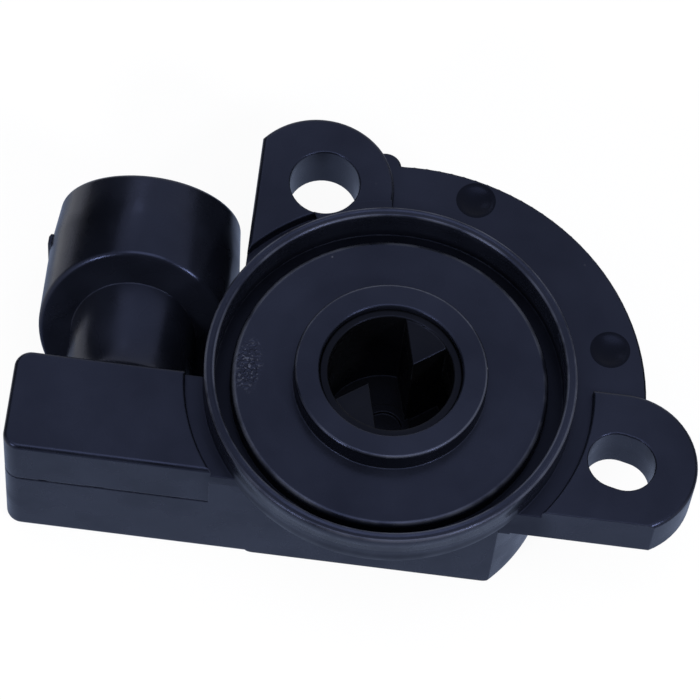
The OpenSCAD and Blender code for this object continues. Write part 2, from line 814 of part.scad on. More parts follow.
module board_leads() {
    supply_a = 180 + asin(-foot_y[0] / track_r);
    ground_a = 180 + asin(-foot_y[2] / track_r);
    color([0.7, 0.7, 0.68])
        printed() {
            arc_band(track_r - strip_w / 2, track_r + strip_w / 2, track_span / 2 + 0.3, supply_a);
            lead_strip(0, track_r * cos(supply_a));
            arc_band(track_r - strip_w / 2, track_r + strip_w / 2, ground_a, 360 - track_span / 2 - 0.3);
            lead_strip(2, track_r * cos(ground_a));
        }
}

// One blade: pin in the socket, leg down to the board and foot under its rivet
module terminal(i) {
    pin_y1 = mouth_y - 2.2;
    foot_end = foot_y[i] - 1.2;
    difference() {
        translate([pin_x[i] - pin_w / 2, 0, 0])
            rotate([90, 0, 90])
                linear_extrude(pin_w)
                    polygon([[pin_y1 - 0.8, conn_z + pin_t / 2], [leg_y - pin_t, conn_z + pin_t / 2],
                        [leg_y - pin_t, foot_bot + pin_t], [foot_end, foot_bot + pin_t], [foot_end, foot_bot],
                        [leg_y, foot_bot], [leg_y, conn_z - pin_t / 2], [pin_y1 - 0.8, conn_z - pin_t / 2],
                        [pin_y1, conn_z - pin_t / 6], [pin_y1, conn_z + pin_t / 6]]);
        translate([pin_x[i], foot_y[i], foot_bot - 1]) cylinder(r = rivet_r + fit_gap, h = pin_t + 2, $fn = 32);
    }
}

module terminal_supply() { color([0.75, 0.75, 0.72]) terminal(0); }

module terminal_signal() { color([0.75, 0.75, 0.72]) terminal(1); }

module terminal_ground() { color([0.75, 0.75, 0.72]) terminal(2); }

module terminal_rivets() {
    top = foot_bot + pin_t + 0.02;
    bot = board_bot - 0.02;
    head = 0.3;
    color([0.8, 0.65, 0.35])
        for (i = [0:2])
            translate([pin_x[i], foot_y[i], 0])
                rotate_extrude($fn = 32)
                    polygon([[0.22, bot - head], [rivet_head_r, bot - head], [rivet_head_r, bot], [rivet_r, bot],
                        [rivet_r, top], [rivet_head_r, top], [rivet_head_r - 0.15, top + head], [0.22, top + head]]);
}

module blade_slots(y0, y1) {
    for (i = [0:2])
        translate([pin_x[i] - pin_w / 2 - fit_gap, y0, conn_z - pin_t / 2 - fit_gap])
            cube([pin_w + 2 * fit_gap, y1 - y0, pin_t + 2 * fit_gap]);
}

module terminal_block() {
    color([0.25, 0.25, 0.27])
        difference() {
            translate([-conn_x - block_w / 2, block_y0, conn_z - block_h / 2])
                cube([block_w, socket_y - block_y0, block_h]);
            blade_slots(block_y0 - 1, socket_y + 1);
        }
}

module terminal_sealant() {
    color([0.2, 0.17, 0.14])
        difference() {
            translate([-conn_x - block_w / 2, sealant_y0, conn_z - block_h / 2])
                cube([block_w, block_y0 - sealant_y0 - fit_gap, block_h]);
            blade_slots(sealant_y0 - wall, block_y0 + wall);
        }
}

front_housing();
rear_housing();
rotor();
return_spring();
shaft_seal();
seal_retainer();
thrust_washer();
wiper_carrier();
track_brush();
collector_brush();
resistor_board();
resistance_track();
collector_track();
board_leads();
terminal_supply();
terminal_signal();
terminal_ground();
terminal_rivets();
terminal_block();
terminal_sealant();
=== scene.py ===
"""Dresses the throttle position sensor.

It rounds the mouldings, lays a fine crest on the pilot rim, gives every piece its finish and sets the
studio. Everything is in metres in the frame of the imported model: +Z points out of the mounting face, and the
origin lies on the rotor's axis in the plane of the pads.
"""

import json
import math

import bmesh
import bpy
from bpy.props import FloatProperty, FloatVectorProperty, IntProperty, PointerProperty
from mathutils import Matrix, Vector


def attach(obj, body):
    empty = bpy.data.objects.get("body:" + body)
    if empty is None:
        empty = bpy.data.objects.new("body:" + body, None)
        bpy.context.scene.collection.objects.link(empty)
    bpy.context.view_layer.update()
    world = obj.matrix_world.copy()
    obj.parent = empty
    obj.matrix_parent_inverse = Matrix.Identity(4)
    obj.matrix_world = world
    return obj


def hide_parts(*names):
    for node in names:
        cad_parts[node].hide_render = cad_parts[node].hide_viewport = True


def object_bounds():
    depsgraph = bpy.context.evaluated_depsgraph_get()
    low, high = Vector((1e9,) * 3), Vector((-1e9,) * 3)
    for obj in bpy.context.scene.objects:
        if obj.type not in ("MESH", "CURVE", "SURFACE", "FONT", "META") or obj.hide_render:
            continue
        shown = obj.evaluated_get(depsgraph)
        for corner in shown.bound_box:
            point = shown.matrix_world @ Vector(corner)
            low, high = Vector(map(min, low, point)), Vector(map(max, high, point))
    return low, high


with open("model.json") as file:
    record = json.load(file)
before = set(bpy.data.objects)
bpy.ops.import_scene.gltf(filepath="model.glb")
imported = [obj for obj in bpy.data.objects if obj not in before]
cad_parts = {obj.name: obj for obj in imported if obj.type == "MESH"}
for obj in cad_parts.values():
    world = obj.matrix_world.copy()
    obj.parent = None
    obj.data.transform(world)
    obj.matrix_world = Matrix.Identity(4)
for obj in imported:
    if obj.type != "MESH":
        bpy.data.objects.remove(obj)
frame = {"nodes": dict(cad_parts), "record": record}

CAD_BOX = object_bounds()

bl_info = {
    "name": "Throttle Position Sensor",
    "version": (1, 0, 0),
    "blender": (4, 5, 0),
    "location": "View3D > Sidebar > Sensor",
    "description": "Builds the looks of a rotary throttle position sensor around its packed solids",
    "category": "Object",
}

MM = 0.001
MERGE_DISTANCE = 2e-7
FLAT_ANGLE = math.radians(0.4)
SHARP_ANGLE = math.radians(32)
SKIN = 0.02 * MM
BEVEL_SAMPLES = 6
PLASTIC_IOR = 1.47
CREST_TURNS = 240
WEB_STEPS = 60
MOUNTS = {mount["name"]: mount for mount in frame["record"]["mounts"]}

# Where the edges to be rounded are looked for.
COLLAR_EDGE_Z = (2 * MM, 4 * MM)
RIM_FOOT_EDGE_Z = (-3.5 * MM, -2 * MM)
SLOT_REACH = 4.2 * MM
SHROUD_END_Y = (1.5 * MM, 12 * MM)
SHROUD_RIGHT_X = -17.6 * MM
ROTOR_EDGES_FROM_Z = -11 * MM

# Each softbox's width and depth, and its place; all point at the origin.
SOFTBOXES = {
    "back": ((0.10, 0.06), (-0.16, 0.39, 0.49)),
    "right": ((0.12, 0.10), (0.39, -0.33, 0.40)),
    "left": ((0.08, 0.08), (-0.34, -0.42, 0.31)),
    "top": ((0.40, 0.40), (0, -0.10, 0.60)),
}


def length(name, text, default_mm):
    """A length property that is written in millimetres."""
    return FloatProperty(name=name, description=text, default=default_mm * MM, unit="LENGTH", precision=5)


def angle(name, text, default_deg):
    """An angle property that is written in degrees."""
    return FloatProperty(name=name, description=text, default=math.radians(default_deg), subtype="ANGLE")


def colour(name, text, default):
    """A colour property in linear values."""
    kind = {"subtype": "COLOR", "size": 3, "min": 0, "max": 1}
    return FloatVectorProperty(name=name, description=text, default=default, **kind)


def share(name, text, default):
    """A property from 0 for nothing to 1 for all."""
    return FloatProperty(name=name, description=text, default=default, subtype="FACTOR", min=0, max=1)


def power(name, text, default):
    """A lamp's power property, in watts."""
    return FloatProperty(name=name, description=text, default=default, unit="POWER")


class EdgeSizes(bpy.types.PropertyGroup):
    """Radii to which the mouldings' sharp edges are rounded, and where those edges are."""

    floor_r: length("Floor radius", "Outer radius of the annular floor", 17.1)
    collar_r: length("Collar radius", "Outer radius of the collar", 10.4)
    dent_rim: length("Dent rim", "Depth of the fan's face, where the dents start", 1.2)
    dent_foot: length("Dent foot", "Depth that no dent reaches", 1.7)
    rim_r: length("Rim radius", "Outer radius of the pilot rim", 20.0)
    rim_in_r: length("Rim's inner radius", "Inner radius of the pilot rim's crest", 18.83)
    rim_top: length("Rim top", "Height of the pilot rim", 2.8)
    rim_edge: length("Rim edge", "Radius of the crest's two edges", 0.32)
    rim_dip: length("Rim dip", "Depth of the hollow between the crest's edges", 0.14)
    rim_sink: length("Rim sink", "How far the solid's own crest is lowered under the fine one", 0.308)
    bore: length("Bore edge", "Radius of the collar's inner edge", 0.25)
    holes: length("Hole edge", "Radius of the ear holes' edges", 0.18)
    pads: length("Pad edge", "Radius of the pads' edges round the rim", 0.3)
    rim: length("Rim's lower edge", "Radius of the rim's lower edge", 0.22)
    shroud: length("Shroud edge", "Radius of the connector shroud's slanted end", 0.5)
    rotor: length("Rotor edge", "Radius of the rotor's sharp edges", 0.16)
    soft: length("Soft edge", "Radius to which shading softens the other edges and corners", 0.22)
    bore_r: length("Bore radius", "Where the collar's inner edge is", 7.7)
    pad_cut_r: length("Pad cut radius", "Where the pads end round the rim", 22.0)
    rim_foot_r: length("Rim foot radius", "Where the rim's lower edge is", 19.7)
    web_start: angle("Web start", "Where the web between rim and upper ear starts, round the axis", 95.4)
    web_end: angle("Web end", "Where that web ends", 118.0)
    near: length("Near", "How near an edge lies to the place it is looked for", 0.08)
    arm_seam: length("Arm seam", "Depth of the seam along the arm", 7.8)
    rim_foot: length("Rim foot", "Depth of the rim's lower edge", 2.8)
    apron_x: length("Front wall's end", "Where the rear housing's front wall starts to stand up", 17.8)
    fit_gap: length("Fit gap", "Gap between the two housings, closed where they are welded", 0.05)
    segments: IntProperty(name="Segments", description="Faces across a rounded edge", default=3, min=1, max=8)


class PlasticLook(bpy.types.PropertyGroup):
    """Colours and texture of the moulded plastics."""

    housing: colour("Housing", "Blue-black of the front housing", (0.0042, 0.0050, 0.0086))
    cover: colour("Rear housing", "Blue-black of the rear housing", (0.0042, 0.0050, 0.0086))
    rotor: colour("Rotor", "Black of the rotor", (0.0022, 0.0024, 0.0030))
    # Partly real wear, partly painted highlight: the pale tone of worn edges and scuff flecks, and of the
    # painted highlight lines on edges.
    wear_and_highlight_tint: colour("Worn edge", "Greyer plastic where edges are rubbed", (0.05, 0.055, 0.075))
    speck: colour("Specks", "Pale dust and moulding specks", (0.22, 0.23, 0.27))
    speck_gap: length("Speck gap", "Distance between specks", 2.6)
    gloss: share("Roughness", "Roughness of clean plastic", 0.22)
    sheen: share("Sheen", "Specular level of the plastic", 0.31)
    tint: colour("Sheen tint", "Colour of the plastic's reflections", (0.42, 0.51, 1.0))
    smudged: share("Smudged roughness", "Roughness of handled plastic", 0.36)
    grain: length("Grain", "Size of the moulded grain", 0.28)
    grain_depth: length("Grain depth", "Height of the moulded grain", 0.006)
    cloud: length("Clouds", "Size of the faint shade patches", 14)
    cloud_depth: length("Cloud depth", "How far the plastic's faces undulate", 0.05)
    patchy: share("Patchiness", "How much darker or paler the shade patches are", 0.6)
    # Partly wear, partly painted highlight: how pale the edges are painted, and how far from an edge.
    wear_and_highlight: share("Wear", "How pale rubbed edges are", 0.22)
    wear_and_highlight_width: length("Wear width", "How far wear reaches from an edge", 0.22)
    scuff_x: length("Scuff along X", "Middle of the scuffed patch on the annular floor", -15.3)
    scuff_y: length("Scuff along Y", "Middle of the scuffed patch on the annular floor", -0.4)
    scuff_z: length("Scuff along Z", "Height of the annular floor", 0.4)
    scuff_r: length("Scuff size", "Half length of the scuffed patch", 3.8)
    scuff_shape: FloatProperty(name="Scuff shape", description="Patch's length over its width", default=2.1)
    pit_depth: length("Pit depth", "Depth of the scuffed patch's pits", 0.05)
    # Painted shade: these three settings darken the fan in a band along the rim's foot, below the pads' plane,
    # towards the dark matt tone.
    foot_shade_r: length("Grime radius", "Out to where dull grime lies along the rim's foot", 22.6)
    foot_shade: length("Grime width", "Width over which the grime fades", 2.4)
    foot_shade_cover: share("Grime cover", "How much of the plastic's shade the grime hides", 0.85)
    # Painted highlight: how pale the thin highlight lines painted on the edges of rim, floor and collar are.
    ring_highlight: share("Rubbed rings", "How pale the rubbed edges of rim, floor and collar are", 0.75)
    # Painted shade: the darker matt tone of the seal groove, the dents and the collar's outer wall, which the
    # band along the rim's foot also fades to.
    painted_shade: colour("Dull plastic", "Matt plastic of groove, dents and collar wall", (0.0016, 0.0019, 0.0032))
    dull_sheen: share("Dull sheen", "Specular level of the matt plastic and of the rotor", 0.12)


class MetalLook(bpy.types.PropertyGroup):
    """Colours of the metal and board pieces inside."""

    steel: colour("Spring steel", "Drawn spring wire", (0.42, 0.43, 0.45))
    retainer: colour("Retainer steel", "Stamped bright steel", (0.55, 0.56, 0.58))
    bronze: colour("Bronze", "Spring bronze of carrier and washer", (0.62, 0.42, 0.22))
    brush: colour("Contact alloy", "Pale contact alloy of the brushes", (0.74, 0.66, 0.46))
    tin: colour("Tin", "Tin plating of the terminals", (0.66, 0.66, 0.64))
    brass: colour("Brass", "Tubular rivets", (0.70, 0.52, 0.24))
    laminate: colour("Laminate", "Brown board", (0.22, 0.12, 0.05))
    carbon: colour("Carbon ink", "Printed resistance track", (0.012, 0.012, 0.013))
    silver: colour("Silver ink", "Printed conductors", (0.58, 0.58, 0.56))
    rubber: colour("Rubber", "Shaft seal", (0.012, 0.012, 0.012))
    block: colour("Block", "Terminal block", (0.035, 0.036, 0.04))
    resin: colour("Resin", "Cast sealing resin", (0.03, 0.022, 0.016))


class StageSettings(bpy.types.PropertyGroup):
    """Camera, lamps, cards and floor."""

    lens: FloatProperty(name="Lens", description="Focal length", default=205.7, unit="CAMERA")
    pitch: angle("Pitch", "Tilt from straight down", 27.03)
    yaw: angle("Yaw", "Turn about the rotor's axis", -0.38)
    roll: angle("Roll", "Turn about the view's axis", -6.74)
    across: length("Across", "Shift of the rotor's axis to the right in the view", 4.26)
    up: length("Up", "Shift of the rotor's axis up in the view", -3.47)
    away: length("Away", "Distance from the camera", 429.21)
    floor: colour("Floor", "Pale floor", (0.88, 0.88, 0.90))
    floor_white: share("Floor white", "How much of the seen floor is plain white", 0.92)
    floor_rough: share("Floor roughness", "Roughness of the floor", 0.9)
    air: colour("Surroundings", "Light that comes from all sides", (0.55, 0.56, 0.60))
    floor_gap: length("Floor gap", "How far the floor lies below the part's back", 0.05)
    floor_size: length("Floor size", "Width of the floor", 2400)
    back_power: power("Back power", "Power of the softbox behind the part", 0.06)
    right_power: power("Right power", "Power of the softbox in front at the right", 2.0)
    left_power: power("Left power", "Power of the softbox in front at the left", 1.2)
    top_power: power("Top power", "Power of the soft lamp overhead", 1.4)
    # Painted reflections: cards that only glossy rays see.
    card_away: length("Card distance", "How far the two side cards stand from the rotor's axis", 350)
    card_depth: length("Card depth", "Half the side cards' length, and the front card's distance", 315)
    left_height: length("Left card's height", "How high the left card stands", 490)
    right_height: length("Right card's height", "How high the right card stands", 280)
    front_width: length("Front card's width", "Width of the front card", 385)
    front_height: length("Front card's height", "Height of the front card", 630)
    front_middle: length("Front card's middle", "Height of the front card's middle", 297.5)
    foot_card: length("Foot card", "How far the card under the part reaches past it", 50)
    foot_left: length("Foot card's left end", "How far that card reaches past the arm", 14)
    foot_lift: length("Foot card's lift", "How far that card lies above the part's back", 0.1)
    card_tint: colour("Foot card's tint", "Shade that the upright walls reflect", (0.34, 0.41, 0.59))


class Signal:
    """A shader socket that works in Python arithmetic: each operation adds its Math node."""

    def __init__(self, finish, socket):
        self.finish = finish
        self.socket = socket

    def math(self, operation, *values):
        """One Math node on the given values."""
        return self.finish.node("ShaderNodeMath", {"operation": operation}, dict(enumerate(values)))

    def __add__(self, other):
        return self.math("ADD", self, other)

    def __radd__(self, other):
        return self.math("ADD", other, self)

    def __sub__(self, other):
        return self.math("SUBTRACT", self, other)

    def __rsub__(self, other):
        return self.math("SUBTRACT", other, self)

    def __mul__(self, other):
        return self.math("MULTIPLY", self, other)

    def above(self, low, high):
        """0 below low, 1 above high and a smooth step between."""
        return self.finish.node(
            "ShaderNodeMapRange",
            {"interpolation_type": "SMOOTHSTEP"},
            {"Value": self, "From Min": low, "From Max": high},
        )


class Finish:
    """One procedural material on Object coordinates, round one Principled shader."""

    def __init__(self, name):
        self.material = bpy.data.materials.new(name)
        self.material.use_nodes = True
        self.tree = self.material.node_tree
        self.shader = self.tree.nodes["Principled BSDF"]
        self.place = self.node("ShaderNodeTexCoord", out="Object")

    def fill(self, socket, value):
        """Links a signal to a socket, or sets a plain value on it."""
        if isinstance(value, Signal):
            self.tree.links.new(value.socket, socket)
        elif hasattr(socket.default_value, "__len__") and len(value) < len(socket.default_value):
            socket.default_value = (*value, 1)
        else:
            socket.default_value = value

    def node(self, kind, settings=None, values=None, out=0):
        """Adds a node, with its settings first and then its inputs, and returns one of its outputs."""
        made = self.tree.nodes.new(kind)
        for key, value in (settings or {}).items():
            setattr(made, key, value)
        for key, value in (values or {}).items():
            self.fill(made.inputs[key], value)
        return Signal(self, made.outputs[out])

    def mix(self, amount, low, high):
        """A colour between two colours."""
        settings = {"data_type": "RGBA"}
        return self.node("ShaderNodeMix", settings, {"Factor": amount, 6: low, 7: high}, out=2)

    def vector(self, operation, *values, out=0):
        """One Vector Math node."""
        return self.node("ShaderNodeVectorMath", {"operation": operation}, dict(enumerate(values)), out=out)

    def noise(self, size, detail=2.0, roughness=0.5, place=None):
        """Noise whose features are about size metres wide."""
        values = {"Vector": place or self.place, "Scale": 1 / size, "Detail": detail, "Roughness": roughness}
        return self.node("ShaderNodeTexNoise", None, values)

    def set(self, **inputs):
        """Sets inputs of the Principled shader; an underscore stands for a space."""
        for key, value in inputs.items():
            self.fill(self.shader.inputs[key.replace("_", " ")], value)
        return self.material

    def edge_wear_and_highlight(self, reach):
        """1 on convex and concave edges within reach, 0 on flat ground: partly edge wear, partly painted
        highlight along the edges.
        """
        rounded = self.node("ShaderNodeBevel", {"samples": BEVEL_SAMPLES}, {"Radius": reach})
        flat = self.node("ShaderNodeNewGeometry", out="Normal")
        return (1 - self.vector("DOT_PRODUCT", rounded, flat, out="Value")).above(0.01, 0.16)

    def bumped(self, *layers, rounded=0.0):
        """Normal with bump layers of (height signal, distance in metres), over edges rounded to a radius."""
        normal = None
        if rounded:
            normal = self.node("ShaderNodeBevel", {"samples": BEVEL_SAMPLES}, {"Radius": rounded})
        for height, distance in layers:
            values = {"Height": height, "Distance": distance, "Strength": 1.0}
            if normal:
                values["Normal"] = normal
            normal = self.node("ShaderNodeBump", None, values)
        return normal


def ring_highlight_masks(skin, across, height, rings):
    """Painted highlights: 1 on thin rings round the rotor's axis, as (radius, half width, lowest height),
    broken up by noise.
    """
    total = 0.0
    for radius, half, low in rings:
        off = skin.node("ShaderNodeMath", {"operation": "ABSOLUTE"}, {0: across - radius})
        total = (1 - off.above(0.3 * half, half)) * height.above(low - 0.1 * MM, low) + total
    return total * skin.noise(7 * MM, detail=3.0, roughness=0.6).above(0.35, 0.62)


def scuff_masks(skin, look):
    """The scuffed patch on the annular floor, its pits and its flecks."""
    stretch = (look.scuff_shape, 1, 1)
    middle = (look.scuff_x * look.scuff_shape, look.scuff_y, look.scuff_z)
    wide = skin.vector("MULTIPLY", skin.place, stretch)
    reach = skin.vector("DISTANCE", wide, middle, out="Value")
    half = look.scuff_r
    patch = 1 - (reach + skin.noise(1.6 * MM) * half * 0.5).above(0.75 * half, 1.25 * half)
    pits = skin.noise(0.42 * MM, detail=1.0).above(0.42, 0.58) * patch
    flecks = skin.noise(0.34 * MM, detail=1.0).above(0.58, 0.66) * patch
    return patch, pits, flecks


def moulded_plastic(name, base, scuffed=False, rings=(), sheen_level=None):
    """Satin moulded plastic with soft shade patches, fine grain, paler edges that are partly wear and partly
    painted highlight, and a few specks; with rings, also painted highlight lines on the rim, floor and collar
    edges and painted shade along the rim's foot.
    """
    look = bpy.context.scene.sensor_plastic
    sheen_level = look.sheen if sheen_level is None else sheen_level
    skin = Finish(name)
    edges = bpy.context.scene.sensor_edges
    cloud = skin.noise(look.cloud, detail=3.0)
    smudge = skin.noise(look.cloud * 0.35, detail=2.0, roughness=0.6).above(0.3, 0.8)
    grain = skin.noise(look.grain, detail=2.0)
    # Paler edges: partly wear, partly painted highlight along convex and concave edges.
    wear_and_highlight = skin.edge_wear_and_highlight(look.wear_and_highlight_width) * skin.noise(1.3 * MM, detail=3.0).above(0.38, 0.62)
    spread = {"Vector": skin.place, "Scale": 1 / look.speck_gap}
    dots = skin.node("ShaderNodeTexVoronoi", {"feature": "F1"}, spread)
    speck = (1 - dots.above(0.035, 0.06)) * skin.noise(6 * MM).above(0.60, 0.66)
    darker = [(1 - look.patchy) * c for c in base]
    lighter = [min(1.0, (1 + look.patchy) * c) for c in base]
    tone = skin.mix(cloud.above(0.2, 0.8), darker, lighter)
    tone = skin.mix(wear_and_highlight * look.wear_and_highlight, tone, look.wear_and_highlight_tint)
    tone = skin.mix(speck * 0.6, tone, look.speck)
    rough = look.gloss + smudge * (look.smudged - look.gloss) + wear_and_highlight * 0.08
    layers = [(grain, look.grain_depth), (cloud, look.cloud_depth)]
    if scuffed:
        patch, pits, flecks = scuff_masks(skin, look)
        tone = skin.mix(pits * 0.7, tone, darker)
        tone = skin.mix(flecks * 0.7, tone, look.wear_and_highlight_tint)
        rough = rough + patch * 0.14
        layers.append((pits, -look.pit_depth))
    if rings:
        flat = skin.vector("MULTIPLY", skin.place, (1, 1, 0))
        across = skin.vector("LENGTH", flat, out="Value")
        height = skin.node("ShaderNodeSeparateXYZ", None, {0: skin.place}, out=2)
        low = 1 - height.above(-MM, 0)
        # Painted shade along the rim's foot: the fan below the pads' plane turns darker and matt, fading out
        # past foot_shade_r.
        foot_shade = (1 - (across + cloud * look.foot_shade - look.foot_shade_r).above(0, look.foot_shade)) * low
        tone = skin.mix(foot_shade * look.foot_shade_cover, tone, look.painted_shade)
        rough = rough + foot_shade * 0.15
        # Painted highlight lines on the rounded edges of rim crest, floor and collar.
        tone = skin.mix(ring_highlight_masks(skin, across, height, rings) * look.ring_highlight, tone, look.wear_and_highlight_tint)
    sheen = {"Specular_IOR_Level": sheen_level, "Specular_Tint": look.tint, "IOR": PLASTIC_IOR}
    normal = skin.bumped(*layers, rounded=edges.soft)
    return skin.set(Base_Color=tone, Roughness=rough, Normal=normal, **sheen)


def metal(name, tint, roughness, streak=0.0, stretch=(1, 1, 1)):
    """Metal with fine drawing or stamping lines along the axes whose stretch is small, and a faint stain."""
    skin = Finish(name)
    along = skin.vector("MULTIPLY", skin.place, stretch)
    lines = skin.noise(0.12 * MM, detail=2.0, place=along)
    stain = skin.noise(2.2 * MM, detail=3.0).above(0.4, 0.7)
    tone = skin.mix(stain * 0.5, tint, [0.72 * c for c in tint])
    normal = skin.bumped((lines, (0.002 + 0.004 * streak) * MM))
    rough = roughness + stain * 0.14 + lines * 0.06
    return skin.set(Base_Color=tone, Metallic=1.0, Roughness=rough, Normal=normal)


def plain_filler(name, tint, roughness, grain, depth):
    """Non-metal filler such as rubber, ink, laminate or resin, with its own grain."""
    skin = Finish(name)
    lumps = skin.noise(grain, detail=3.0)
    tone = skin.mix(lumps.above(0.35, 0.65), [0.8 * c for c in tint], [min(1.0, 1.2 * c) for c in tint])
    return skin.set(Base_Color=tone, Roughness=roughness + lumps * 0.12, Normal=skin.bumped((lumps, depth)))


def dress(node, material):
    """Gives a CAD node its material."""
    slots = frame["nodes"][node].data.materials
    slots.clear()
    slots.append(material)


def merged_copy(node):
    """The node's solid as a closed bmesh without the triangulation of its flat faces."""
    shape = bmesh.new()
    shape.from_mesh(frame["nodes"][node].data)
    bmesh.ops.remove_doubles(shape, verts=shape.verts, dist=MERGE_DISTANCE)
    bmesh.ops.dissolve_limit(shape, angle_limit=FLAT_ANGLE, verts=shape.verts, edges=shape.edges)
    return shape


def sharp_edges(shape, wanted):
    """Convex edges sharper than SHARP_ANGLE with both ends where the test wants them."""
    found = []
    for edge in shape.edges:
        if len(edge.link_faces) != 2 or edge.calc_face_angle(0) < SHARP_ANGLE or not edge.is_convex:
            continue
        if all(wanted(vert.co) for vert in edge.verts):
            found.append(edge)
    return found


def ring_test(centre, radius, low, high):
    """A test for points near a circle round an upright axis, between two heights."""
    near = bpy.context.scene.sensor_edges.near

    def wanted(at):
        across = math.hypot(at.x - centre[0], at.y - centre[1])
        return abs(across - radius) < near and low < at.z < high

    return wanted


def round_edges(shape, edges, radius):
    """Rounds edges to a radius, with bmesh's own bevel."""
    bmesh.ops.bevel(
        shape,
        geom=edges,
        offset=radius,
        offset_type="OFFSET",
        affect="EDGES",
        segments=bpy.context.scene.sensor_edges.segments,
        profile=0.5,
        material=-1,
        clamp_overlap=False,
    )


def as_piece(shape, name):
    """Turns a bmesh into an object of the scene, and frees it."""
    mesh = bpy.data.meshes.new(name)
    shape.to_mesh(mesh)
    shape.free()
    piece = bpy.data.objects.new(name, mesh)
    bpy.context.scene.collection.objects.link(piece)
    return piece


def join_front(piece):
    """Gives a piece the front housing's body, slot and plastic."""
    piece.data.materials.append(bpy.data.objects["front_moulding"].data.materials[0])
    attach(piece, "root")


def finished(shape, name, node, material):
    """The bmesh as a smooth piece that stands for a CAD node, on that node's body and slot."""
    for face in shape.faces:
        face.smooth = True
    for edge in shape.edges:
        edge.smooth = len(edge.link_faces) != 2 or edge.calc_face_angle(0) < SHARP_ANGLE
    piece = as_piece(shape, name)
    piece.data.materials.append(material)
    even = piece.modifiers.new("even_normals", "WEIGHTED_NORMAL")
    even.keep_sharp = True
    record = frame["record"]
    body = next(b for b, names in record["behaviour"]["bodies"].items() if node in names)
    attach(piece, body)
    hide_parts(node)
    return piece


def close_seam(shape, gap):
    """Lifts the rear housing's welded faces by the fit gap, so that no dark slit shows on the front wall."""
    edges = bpy.context.scene.sensor_edges
    near = SKIN / 2
    for vert in shape.verts:
        for level in (edges.arm_seam, edges.rim_foot):
            if abs(vert.co.z + level + gap) < near:
                vert.co.z += gap
        if abs(vert.co.x + edges.apron_x) < near and vert.co.z > -edges.arm_seam - near:
            vert.co.x -= gap


class SENSOR_OT_front_housing(bpy.types.Operator):
    """Rounds the front housing's edges and gives it its blue-black plastic"""

    bl_idname = "sensor.front_housing"
    bl_label = "Front Housing"

    def execute(self, context):
        look = context.scene.sensor_plastic
        edges = context.scene.sensor_edges
        shape = merged_copy("front_housing")
        self.round_off(shape, edges)
        self.sink_crest(shape, edges)
        # Rings of painted highlight on the rim, floor and collar edges.
        rings = self.highlight_rings(edges)
        plastic = moulded_plastic("housing_plastic", look.housing, scuffed=True, rings=rings)
        piece = finished(shape, "front_moulding", "front_housing", plastic)
        # Painted shade: a second, darker and matt plastic for the groove, the dents and the collar's outer
        # wall.
        piece.data.materials.append(moulded_plastic("dull_plastic", look.painted_shade, sheen_level=look.dull_sheen))
        for face in piece.data.polygons:
            corners = [piece.data.vertices[at].co for at in face.vertices]
            face.material_index = int(self.in_painted_shade(corners, edges))
        return {"FINISHED"}

    def round_off(self, shape, edges):
        """Rounds the edges of collar, pads, rim and ear holes."""
        middle = (0, 0)
        hole = MOUNTS["ear_hole_round"]
        slot = MOUNTS["ear_hole_slot"]["pos_m"]

        def at_slot(at):
            return math.dist(at[:2], slot[:2]) < SLOT_REACH and abs(at.z) < SKIN

        places = (
            (ring_test(middle, edges.bore_r, *COLLAR_EDGE_Z), edges.bore),
            (ring_test(middle, edges.pad_cut_r, -SKIN, SKIN), edges.pads),
            (ring_test(middle, edges.rim_foot_r, *RIM_FOOT_EDGE_Z), edges.rim),
            (ring_test(hole["pos_m"], hole["dims"]["r_mm"] * MM, -SKIN, SKIN), edges.holes),
            (at_slot, edges.holes),
        )
        for wanted, radius in places:
            round_edges(shape, sharp_edges(shape, wanted), radius)

    def sink_crest(self, shape, edges):
        """Lowers and narrows the solid's own crest, so that it lies inside the fine one."""
        for vert in shape.verts:
            across = math.hypot(vert.co.x, vert.co.y)
            on_rim = edges.rim_in_r - edges.rim_edge < across < edges.rim_r + SKIN
            if on_rim and vert.co.z > edges.rim_top / 2:
                vert.co.z -= edges.rim_sink
                vert.co.xy *= 1 - 2 * SKIN / across

    def highlight_rings(self, edges):
        """The rings that get painted highlight lines, on the edges of rim crest, floor and collar, as (radius,
        half width, lowest height).
        """
        crest = edges.rim_top - edges.rim_edge
        return [
            (edges.rim_r - 0.14 * MM, 0.18 * MM, crest),
            (edges.rim_in_r + 0.16 * MM, 0.16 * MM, crest),
            (edges.floor_r - 0.35 * MM, 0.28 * MM, 0),
            (edges.collar_r - 0.2 * MM, 0.14 * MM, COLLAR_EDGE_Z[0]),
        ]

    def in_painted_shade(self, corners, edges):
        """Tells whether a face lies in the seal groove, in a dent or on the collar's outer wall, the places
        given painted shade.
        """
        reach = [math.hypot(at.x, at.y) for at in corners]
        near, far = min(reach), max(reach)
        foot, head = min(at.z for at in corners), max(at.z for at in corners)
        groove = edges.floor_r - SKIN < near and far < edges.rim_in_r + 2 * SKIN and head < 0
        dent = edges.pad_cut_r < near and -edges.dent_foot < foot < -edges.dent_rim - SKIN
        dent = dent and head < -edges.dent_rim + SKIN
        wall = abs(near - edges.collar_r) < 2 * SKIN and abs(far - edges.collar_r) < 2 * SKIN
        return groove or dent or wall


def lathe(name, profile, turns):
    """A closed ring round the rotor's axis, from a closed profile of (radius, height)."""
    shape = bmesh.new()
    rings = []
    for turn in range(turns):
        x, y = math.cos(2 * math.pi * turn / turns), math.sin(2 * math.pi * turn / turns)
        rings.append([shape.verts.new((r * x, r * y, z)) for r, z in profile])
    for ring, following in zip(rings, rings[1:] + rings[:1]):
        for at in range(len(profile)):
            face = shape.faces.new((ring[at - 1], ring[at], following[at], following[at - 1]))
            face.smooth = True
    bmesh.ops.recalc_face_normals(shape, faces=shape.faces)
    return as_piece(shape, name)


